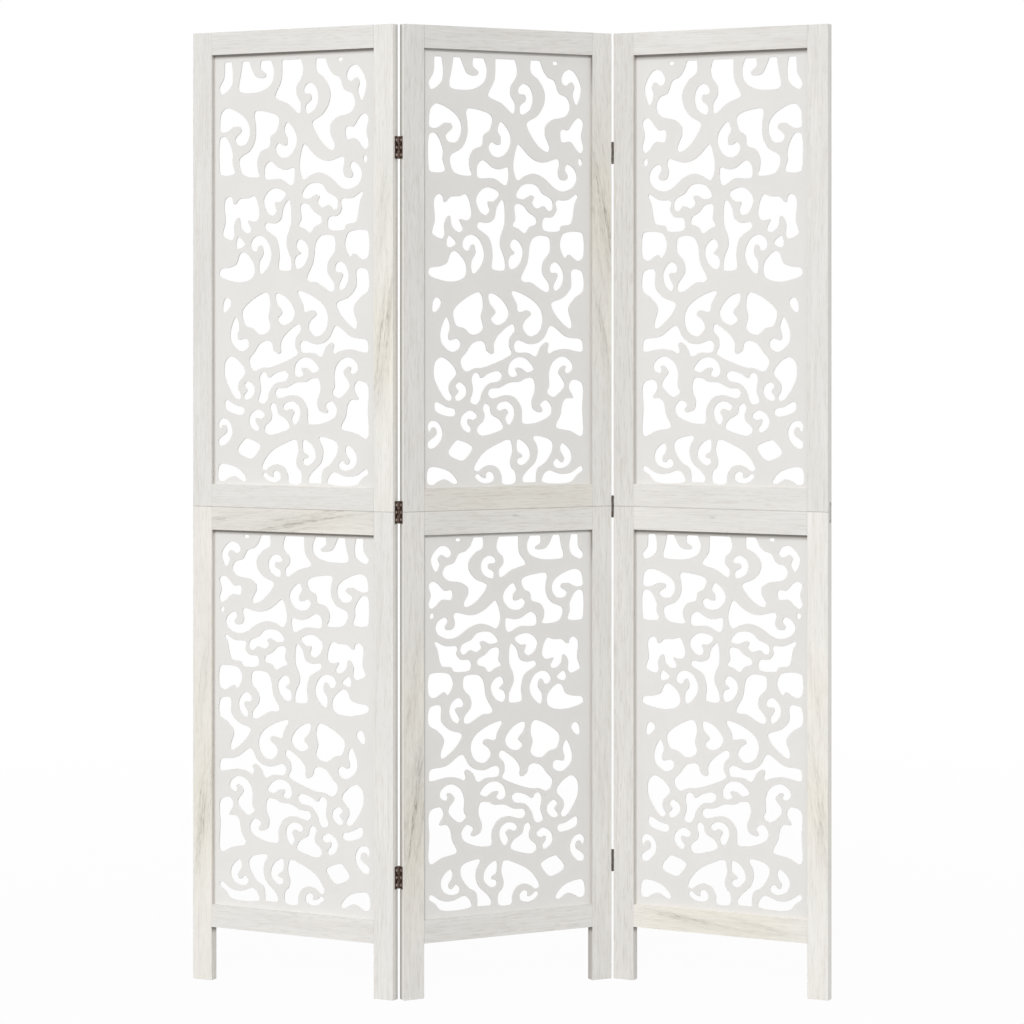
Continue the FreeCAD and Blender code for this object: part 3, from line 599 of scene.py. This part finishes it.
def smoothLoop(loop):
    count = len(loop)
    outline = []
    for i in range(count):
        before, start, finish, after = (loop[(i + shift) % count] for shift in (-1, 0, 1, 2))
        if min(abs(start.x - finish.x), abs(start.y - finish.y)) < scrollCut["straight"]:
            outline.append(start)  # a cut along the frame stays straight
            continue
        if abs(before.y - start.y) < scrollCut["straight"]:
            before = start + (start - finish) * scrollCut["runOut"]
        if abs(after.y - finish.y) < scrollCut["straight"]:
            after = finish + (finish - start) * scrollCut["runOut"]
        outline.extend(sawLine(before, start, finish, after, scrollCut["steps"]))
    return outline


def softCorners(outline):
    # cuts each sharp corner back along both of its sides and bends a short curve across it
    count = len(outline)
    lengths = [(outline[(i + 1) % count] - outline[i]).length for i in range(count)]
    stations = [sum(lengths[:i]) for i in range(count)]
    total = sum(lengths)
    sharp = [i for i in range(count) if min(lengths[i - 1], lengths[i]) > scrollCut["leastSide"] and
             (outline[i] - outline[i - 1]).angle(outline[(i + 1) % count] - outline[i]) > scrollCut["corner"]]

    def along(distance):
        distance %= total
        i = max(k for k in range(count) if stations[k] <= distance)
        share = (distance - stations[i]) / max(lengths[i], scrollCut["leastSpan"])
        return outline[i].lerp(outline[(i + 1) % count], share)

    reaches = {}
    for order, i in enumerate(sharp):
        last, following = stations[sharp[order - 1]], stations[sharp[(order + 1) % len(sharp)]]
        gaps = [(stations[i] - last) % total, (following - stations[i]) % total]
        gaps = [gap for gap in gaps if gap > scrollCut["leastGap"]] or [total]
        reaches[i] = min(scrollCut["round"], scrollCut["roundShare"] * min(gaps))
    softened = []
    for i, spot in enumerate(outline):
        if i in reaches:
            start, finish = along(stations[i] - reaches[i]), along(stations[i] + reaches[i])
            for step in range(scrollCut["roundSteps"] + 1):
                share = step / scrollCut["roundSteps"]
                softened.append(start.lerp(spot, share).lerp(spot.lerp(finish, share), share))
            continue
        away = [min((stations[i] - stations[k]) % total, (stations[k] - stations[i]) % total) - reach
                for k, reach in reaches.items()]
        if not away or min(away) > scrollCut["clear"]:
            softened.append(spot)
    return softened


def cutMesh(node, outlines, thickness, nudge):
    curve = bpy.data.curves.new(node + "_line", "CURVE")
    curve.dimensions = "2D"
    curve.fill_mode = "BOTH"
    curve.extrude = thickness / 2 - scrollCut["arris"]
    curve.bevel_depth = scrollCut["arris"]
    curve.bevel_resolution = scrollCut["arrisSteps"]
    curve.offset = -scrollCut["arris"]
    for number, outline in enumerate(outlines):
        spline = curve.splines.new("POLY")
        spline.points.add(len(outline) - 1)
        for point, spot in zip(spline.points, outline):
            point.co = (spot.x + nudge * (number % 3), spot.y + nudge * (number % 5), 0, 1)
        spline.use_cyclic_u = True
    line = addPiece(node + "_line", curve)
    bpy.context.view_layer.update()
    mesh = bpy.data.meshes.new_from_object(line.evaluated_get(bpy.context.evaluated_depsgraph_get()))
    bpy.data.objects.remove(line)
    bpy.data.curves.remove(curve)
    return mesh


def looseEdges(mesh):
    # edges of the closed board that don't join exactly two faces
    shape = bmesh.new()
    shape.from_mesh(mesh)
    bmesh.ops.remove_doubles(shape, verts=shape.verts, dist=scrollCut["join"])
    count = sum(len(edge.link_faces) != 2 for edge in shape.edges)
    shape.free()
    return count


def scrollBoard(node, panel):
    loops, near, far = boardLoops(node, panel)
    loops.sort(key=lambda loop: -max(spot.y for spot in loop) + min(spot.y for spot in loop))
    outlines = loops[:1] + [softCorners(smoothLoop(loop)) for loop in loops[1:]]
    # points in line can trip the fill, so the openings move by thousandths of a millimetre until it closes
    for attempt in range(scrollCut["attempts"]):
        mesh = cutMesh(node, outlines, far - near, attempt * scrollCut["nudge"])
        loose = looseEdges(mesh)
        if not loose:
            break
    mesh.name = node + "_board"
    mesh.shade_smooth()
    mesh.set_sharp_from_angle(angle=scrollCut["sharp"])
    board = addPiece(node + "_board", mesh)
    across, through = panelAxes(panel)
    place = Matrix.Identity(4)
    for row in range(3):
        place[row][0] = across[row]
        place[row][1] = upward[row]
        place[row][2] = -through[row]
        place[row][3] = through[row] * (near + far) / 2
    board.matrix_world = place
    print("cut", node, "openings", len(loops) - 1, "attempt", attempt, "loose edges", loose)
    return board


whiteBoard = {
    "paint": (0.815, 0.80, 0.775, 1), "dull": (0.76, 0.74, 0.715, 1), "wallFibre": (0.84, 0.82, 0.785, 1),
    "bare": (0.30, 0.275, 0.245, 1), "panelShades": {"left": 0.983, "middle": 0.895, "right": 0.963},
    "wall": (0.75, 0.25), "cloudNoise": (9, 3), "clouds": (0.35, 0.75, 0.0, 0.35), "rollerNoise": (900, 2, 0.6),
    "fibreNoise": (700, 3, 0.65), "fibres": (0.35, 0.7, 0.35, 0.9), "fibreSquash": 6, "fibreRelief": 2.0,
    "roughness": 0.52, "sawnRougher": 0.25, "rollerRougher": 0.10, "specular": 0.4,
    "bump": 0.10, "relief": 0.0002,
    # painted shadow under the rails and beside one stile: how strong, its core and its reach
    "headShares": {"left": 0.88, "middle": 0.53, "right": 0.88}, "headCore": 0.22,
    "headReach": {"left": 0.0095, "middle": 0.0046, "right": 0.0115},
    "sideShares": {"left": 0.5, "middle": 0.15, "right": 0.5}, "sideCore": 0.0012, "sideReach": 0.0048,
}


def makeWhiteBoard(panel):
    material, tree, shader = newMaterial("whiteBoard_" + panel)
    coordinates = addNode(tree, "ShaderNodeTexCoord")
    here = coordinates.outputs["Object"]
    across, height = apart(tree, here)[:2]
    facing = apart(tree, coordinates.outputs["Normal"])[2]
    wall = ramp(tree, maths(tree, "ABSOLUTE", facing), *whiteBoard["wall"])
    clouds = ramp(tree, noise(tree, here, *whiteBoard["cloudNoise"]), *whiteBoard["clouds"])
    roller = noise(tree, here, *whiteBoard["rollerNoise"])
    fibres = stretch(tree, here, (1, 1, whiteBoard["fibreSquash"]))
    fibres = noise(tree, fibres, *whiteBoard["fibreNoise"])
    paint = mixColour(tree, clouds, whiteBoard["paint"], whiteBoard["dull"])
    # the cut walls are a little lighter than the painted face: partly the raw fibre, partly painted light
    cut = mixColour(tree, ramp(tree, fibres, *whiteBoard["fibres"]), paint, whiteBoard["wallFibre"])
    # painted shade: each panel's copy of the same paint gets its own brightness, darkest on the middle panel
    tone = whiteBoard["panelShades"][panel]
    colour = mixColour(tree, 1.0, mixColour(tree, wall, paint, cut), (tone, tone, tone, 1), "MULTIPLY")
    # painted shadow: the board is darkened in the corner under each rail and beside one stile
    rails = [localBox(panel + "_" + half + "_top_rail", panel)[0].z for half in halfNames]
    reach = whiteBoard["headReach"][panel]
    heads = [lineMask(tree, height, rail, whiteBoard["headCore"] * reach, reach) for rail in rails]
    if panel == "middle":
        edge = localBox("middle_upper_right_stile", panel)[0].x
    else:
        edge = localBox(panel + "_upper_left_stile", panel)[1].x
    sides = lineMask(tree, across, edge, whiteBoard["sideCore"], whiteBoard["sideReach"])
    shadowed = maths(tree, "MULTIPLY", maths(tree, "ADD", heads[0], heads[1]), whiteBoard["headShares"][panel])
    shadowed = maths(tree, "MULTIPLY_ADD", sides, whiteBoard["sideShares"][panel], shadowed, clamp=True)
    tree.links.new(mixColour(tree, shadowed, colour, whiteBoard["bare"]), shader.inputs["Base Color"])
    rough = maths(tree, "MULTIPLY_ADD", wall, whiteBoard["sawnRougher"], whiteBoard["roughness"])
    rough = maths(tree, "MULTIPLY_ADD", roller, whiteBoard["rollerRougher"], rough)
    tree.links.new(rough, shader.inputs["Roughness"])
    wallFibre = maths(tree, "MULTIPLY", fibres, wall)
    relief = maths(tree, "MULTIPLY_ADD", wallFibre, whiteBoard["fibreRelief"], roller)
    bumpTo(tree, shader, relief, whiteBoard["bump"], whiteBoard["relief"])
    shader.inputs["Specular IOR Level"].default_value = whiteBoard["specular"]
    return material


for panel in panelNames:
    boardPaint = makeWhiteBoard(panel)
    for half in halfNames:
        name = panel + "_" + half + "_fret"
        board = scrollBoard(name, panel)
        board.data.materials.append(boardPaint)
        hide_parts(name)
        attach(board, panel + "_panel")


# hinges of dark bronzed steel, rubbed on their edges

metalSkin = {
    "mottleNoise": (420, 4, 0.62), "mottles": (0.35, 0.7), "speckNoise": (2600, 2), "wearWidth": 0.0005,
    "roughness": (0.3, 0.7, 0.34, 0.54), "metallic": 0.85, "bump": 0.15, "relief": 0.0001,
}
metalFinishes = {
    "darkBronze": {"ground": (0.195, 0.124, 0.098, 1), "mottle": (0.088, 0.060, 0.048, 1),
                   "rubbed": (0.32, 0.24, 0.195, 1), "wear": 0.6},
    "greyBronze": {"ground": (0.15, 0.138, 0.118, 1), "mottle": (0.088, 0.060, 0.048, 1),
                   "rubbed": (0.32, 0.24, 0.195, 1), "wear": 0.6},
    "rubbedScrew": {"ground": (0.74, 0.67, 0.60, 1), "mottle": (0.48, 0.42, 0.37, 1),
                    "rubbed": (0.82, 0.75, 0.68, 1), "wear": 0.8},
    "plateScrew": {"ground": (0.36, 0.35, 0.33, 1), "mottle": (0.25, 0.24, 0.225, 1),
                   "rubbed": (0.45, 0.44, 0.42, 1), "wear": 0.8},
}


def makeMetal(name):
    finish = metalFinishes[name]
    material, tree, shader = newMaterial(name)
    here = objectSpot(tree)
    mottle = noise(tree, here, *metalSkin["mottleNoise"])
    specks = noise(tree, here, *metalSkin["speckNoise"])
    wear = placeGroup(tree, edgeWearAndHighlight, here)
    wear.inputs["Width"].default_value = metalSkin["wearWidth"]
    base = mixColour(tree, ramp(tree, mottle, *metalSkin["mottles"]), finish["ground"], finish["mottle"])
    worn = maths(tree, "MULTIPLY", wear.outputs["Mask"], finish["wear"])
    tree.links.new(mixColour(tree, worn, base, finish["rubbed"]), shader.inputs["Base Color"])
    tree.links.new(ramp(tree, mottle, *metalSkin["roughness"]), shader.inputs["Roughness"])
    shader.inputs["Metallic"].default_value = metalSkin["metallic"]
    bumpTo(tree, shader, specks, metalSkin["bump"], metalSkin["relief"])
    return material


bronze = {"left": makeMetal("darkBronze"), "right": makeMetal("greyBronze")}
screwSteel = makeMetal("rubbedScrew")

hingeScrew = {"radius": 0.0027, "height": 0.0005, "dome": 4, "slot": 0.00032, "reach": 0.0012, "sink": 0.0003,
              "seat": 0.0004, "cells": 26, "sharp": math.radians(40),
              "twist": 0.4, "leafTwist": 1.1, "rowTwist": 0.7}
leafPlate = {"thickness": 0.00085, "share": 0.42, "spread": 0.0125, "trim": 0.0024, "edgeWithin": 0.0001,
             "ease": 0.00012}


def metalPiece(shape, name, panel, finish, sharp=None):
    bmesh.ops.recalc_face_normals(shape, faces=shape.faces)
    mesh = bpy.data.meshes.new(name)
    shape.to_mesh(mesh)
    shape.free()
    if sharp:
        mesh.shade_smooth()
        mesh.set_sharp_from_angle(angle=sharp)
    mesh.materials.append(finish)
    piece = addPiece(name, mesh)
    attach(piece, panel + "_panel")


def trimmedLeaf(node, panel, ySign):
    # the leaf with its free edge drawn in a little, as it shows between the panels
    through = panelAxes(panel)[1]
    low, high = localBox(node, panel)
    freeEdge = low.y if ySign > 0 else high.y
    mesh = nodes[node].data.copy()
    mesh.name = node + "_trimmed"
    for vert in mesh.vertices:
        if abs(vert.co.dot(through) - freeEdge) < leafPlate["edgeWithin"]:
            vert.co += through * ySign * leafPlate["trim"]
    piece = addPiece(mesh.name, mesh)
    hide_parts(node)
    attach(piece, panel + "_panel")
    return piece


def addScrewHead(shape, centre, outward, side, twist):
    # a low domed head with a cross recess, from a square grid drawn out to a disc
    cells = hingeScrew["cells"]
    grid = []
    for i in range(cells + 1):
        row = []
        for j in range(cells + 1):
            a = 2 * i / cells - 1
            b = 2 * j / cells - 1
            u = a * math.sqrt(1 - b * b / 2) * hingeScrew["radius"]
            v = b * math.sqrt(1 - a * a / 2) * hingeScrew["radius"]
            far = min(1, math.hypot(u, v) / hingeScrew["radius"])
            rise = hingeScrew["height"] * (1 - far ** hingeScrew["dome"])
            if min(abs(u), abs(v)) < hingeScrew["slot"] and max(abs(u), abs(v)) < hingeScrew["reach"]:
                rise -= hingeScrew["sink"]
            su = u * math.cos(twist) - v * math.sin(twist)
            sv = u * math.sin(twist) + v * math.cos(twist)
            row.append(shape.verts.new(centre + side * su + upward * sv + outward * rise))
        grid.append(row)
    for i in range(cells):
        for j in range(cells):
            shape.faces.new((grid[i][j], grid[i + 1][j], grid[i + 1][j + 1], grid[i][j + 1]))
    # a short shank closes it below
    rim = [grid[i][0] for i in range(cells)] + [grid[cells][j] for j in range(cells)]
    rim += [grid[i][cells] for i in range(cells, 0, -1)] + [grid[0][j] for j in range(cells, 0, -1)]
    seat = [shape.verts.new(vert.co - outward * hingeScrew["seat"]) for vert in rim]
    for i in range(len(rim)):
        j = (i + 1) % len(rim)
        shape.faces.new((rim[i], rim[j], seat[j], seat[i]))
    shape.faces.new(seat)


def addLeafScrews(node, panel, outSign, ySign, number):
    across, through = panelAxes(panel)
    low, high = localBox(node, panel)
    face = (low.x if outSign > 0 else high.x) + outSign * leafPlate["thickness"]
    inset = leafPlate["share"] * (high.y - low.y) + leafPlate["trim"] / 2
    spot = low.y + inset if ySign > 0 else high.y - inset
    shape = bmesh.new()
    for step, row in enumerate((-1, 0, 1)):
        height = (low.z + high.z) / 2 + row * leafPlate["spread"]
        twist = hingeScrew["twist"] + hingeScrew["leafTwist"] * number + hingeScrew["rowTwist"] * step
        addScrewHead(shape, across * face + through * spot + upward * height, across * outSign, through, twist)
    metalPiece(shape, node + "_screws", panel, screwSteel, hingeScrew["sharp"])


# small plates that hold the two halves together on the free outer edges

joinPlate = {
    "height": 0.036, "width": 0.0085, "thickness": 0.0007, "corner": 0.002, "cornerSteps": 5, "arris": 0.0002,
    "middle": 0.8241, "shift": 0.001, "spread": 0.0138, "twist": 0.5,
    "pale": (0.57, 0.555, 0.535, 1), "dull": (0.48, 0.465, 0.445, 1), "scuffLength": 0.2,
    "scuffNoise": (900, 3, 0.6), "scuffs": (0.35, 0.7), "roughness": (0.3, 0.7, 0.42, 0.58), "metallic": 0.1,
    "bump": 0.12, "relief": 0.0001,
}
plateScrew = makeMetal("plateScrew")
plateSteel, tree, shader = newMaterial("dullPlate")
scuffs = stretch(tree, objectSpot(tree), (1, 1, joinPlate["scuffLength"]))
scuffs = noise(tree, scuffs, *joinPlate["scuffNoise"])
shown = ramp(tree, scuffs, *joinPlate["scuffs"])
tree.links.new(mixColour(tree, shown, joinPlate["pale"], joinPlate["dull"]), shader.inputs["Base Color"])
tree.links.new(ramp(tree, scuffs, *joinPlate["roughness"]), shader.inputs["Roughness"])
shader.inputs["Metallic"].default_value = joinPlate["metallic"]
bumpTo(tree, shader, scuffs, joinPlate["bump"], joinPlate["relief"])


def plateRing(shape, centre, outward, side, inset, rise):
    bend = joinPlate["corner"] - inset
    ring = []
    for turn, (sideSign, upSign) in enumerate(((1, 1), (-1, 1), (-1, -1), (1, -1))):
        for step in range(joinPlate["cornerSteps"] + 1):
            angle = (turn + step / joinPlate["cornerSteps"]) * math.pi / 2
            a = sideSign * (joinPlate["width"] / 2 - joinPlate["corner"]) + bend * math.cos(angle)
            b = upSign * (joinPlate["height"] / 2 - joinPlate["corner"]) + bend * math.sin(angle)
            ring.append(shape.verts.new(centre + side * a + upward * b + outward * rise))
    return ring


def addJoinPlate(panel, outSign, number):
    across, through = panelAxes(panel)
    low, high = localBox(panel + "_lower_" + ("right" if outSign > 0 else "left") + "_stile", panel)
    edge = high.x if outSign > 0 else low.x
    depth = (low.y + high.y) / 2 + joinPlate["shift"]
    centre = across * edge + through * depth + upward * joinPlate["middle"]
    outward = across * outSign
    thickness, arris = joinPlate["thickness"], joinPlate["arris"]
    shape = bmesh.new()
    rings = [plateRing(shape, centre, outward, through, inset, rise)
             for inset, rise in ((0, 0), (0, thickness - arris), (arris, thickness))]
    for lower, upper in zip(rings, rings[1:]):
        for i in range(len(lower)):
            j = (i + 1) % len(lower)
            shape.faces.new((lower[i], lower[j], upper[j], upper[i]))
    shape.faces.new(rings[-1])
    shape.faces.new(rings[0])
    metalPiece(shape, panel + "_join_plate", panel, plateSteel)
    shape = bmesh.new()
    for row in (-1, 1):
        spot = centre + outward * thickness + upward * row * joinPlate["spread"]
        addScrewHead(shape, spot, outward, through, joinPlate["twist"] + number + row)
    metalPiece(shape, panel + "_join_screws", panel, plateScrew, hingeScrew["sharp"])


addJoinPlate("left", -1, 0)
addJoinPlate("right", 1, 1)
print("join plates finished")

screwNumber = 0
for fold, ySign in (("left", 1), ("right", -1)):
    for place in ("bottom", "middle", "top"):
        hinge = fold + "_fold_" + place + "_hinge"
        leaves = ((hinge + "_fixed_leaf", "middle", -ySign), (hinge + "_moving_leaf", fold, ySign))
        pieces = [trimmedLeaf(node, panel, ySign) for node, panel, outSign in leaves]
        for piece in pieces + [nodes[hinge + "_pin"]]:
            giveFinish(piece, bronze[fold])
            easeEdges(piece, leafPlate["ease"])
        for node, panel, outSign in leaves:
            addLeafScrews(node, panel, outSign, ySign, screwNumber)
            screwNumber += 1
print("hinges finished")


# pale studio: floor, sky and lamps

studio = {
    "sky": 0.66, "floorSize": 400, "floorTone": (0.50, 0.50, 0.50, 1), "floorRoughness": 0.9,
    "floorGlow": 0.965, "floorNear": 0.8, "floorFar": 4.0,
}
lamps = {
    "keyLamp": {"from": (-0.12, -0.858, 0.5), "spread": math.radians(14), "power": 1.60},
    "backLamp": {"from": (0.4, 0.9, 0.5), "spread": math.radians(60), "power": 0.3},
}


def seenDirectly(tree):
    # by the camera, or mirrored in metal
    seen = addNode(tree, "ShaderNodeLightPath")
    return maths(tree, "MAXIMUM", seen.outputs["Is Camera Ray"], seen.outputs["Is Glossy Ray"])


bpy.ops.mesh.primitive_plane_add(size=studio["floorSize"], location=(0, 0, 0))
floor = bpy.context.object
floor.name = "floor"
floorPaint, tree, shader = newMaterial("paleFloor")
shader.inputs["Base Color"].default_value = studio["floorTone"]
shader.inputs["Roughness"].default_value = studio["floorRoughness"]
glow = addNode(tree, "ShaderNodeEmission")
blendIn = addNode(tree, "ShaderNodeMixShader")
reach = addNode(tree, "ShaderNodeVectorMath", operation="LENGTH")
tree.links.new(objectSpot(tree), reach.inputs[0])
fade = ramp(tree, reach.outputs["Value"], studio["floorNear"], studio["floorFar"], studio["floorGlow"], 1.0)
tree.links.new(maths(tree, "MULTIPLY", seenDirectly(tree), fade), blendIn.inputs[0])
tree.links.new(shader.outputs[0], blendIn.inputs[1])
tree.links.new(glow.outputs[0], blendIn.inputs[2])
tree.links.new(blendIn.outputs[0], tree.nodes["Material Output"].inputs["Surface"])
floor.data.materials.append(floorPaint)

world = bpy.data.worlds.new("paleSky")
bpy.context.scene.world = world
world.use_nodes = True
tree = world.node_tree
sky = tree.nodes["Background"]
sky.inputs["Color"].default_value = (1, 1, 1, 1)
strength = maths(tree, "MULTIPLY_ADD", seenDirectly(tree), 1 - studio["sky"], studio["sky"])
plug(tree, strength, sky.inputs["Strength"])

for name, settings in lamps.items():
    lamp = bpy.data.lights.new(name, "SUN")
    lamp.angle = settings["spread"]
    lamp.energy = settings["power"]
    aim = -Vector(settings["from"])
    addPiece(name, lamp).rotation_euler = aim.to_track_quat("-Z", "Y").to_euler()

# the photograph's view: a level camera with its frame shifted down
cameraView = {"place": (0.0079, -5.3748, 1.1456), "sensor": 36, "lens": 109.86, "shiftY": -0.1852,
              "sight": 1000}
cameraData = bpy.data.cameras.new("camera")
cameraData.sensor_width = cameraView["sensor"]
cameraData.lens = cameraView["lens"]
cameraData.shift_y = cameraView["shiftY"]
cameraData.clip_end = cameraView["sight"]
camera = addPiece("camera", cameraData)
camera.location = cameraView["place"]
camera.rotation_euler = (math.pi / 2, 0, 0)
bpy.context.scene.camera = camera
bpy.context.scene.view_settings.view_transform = "Standard"
print("studio and camera set")
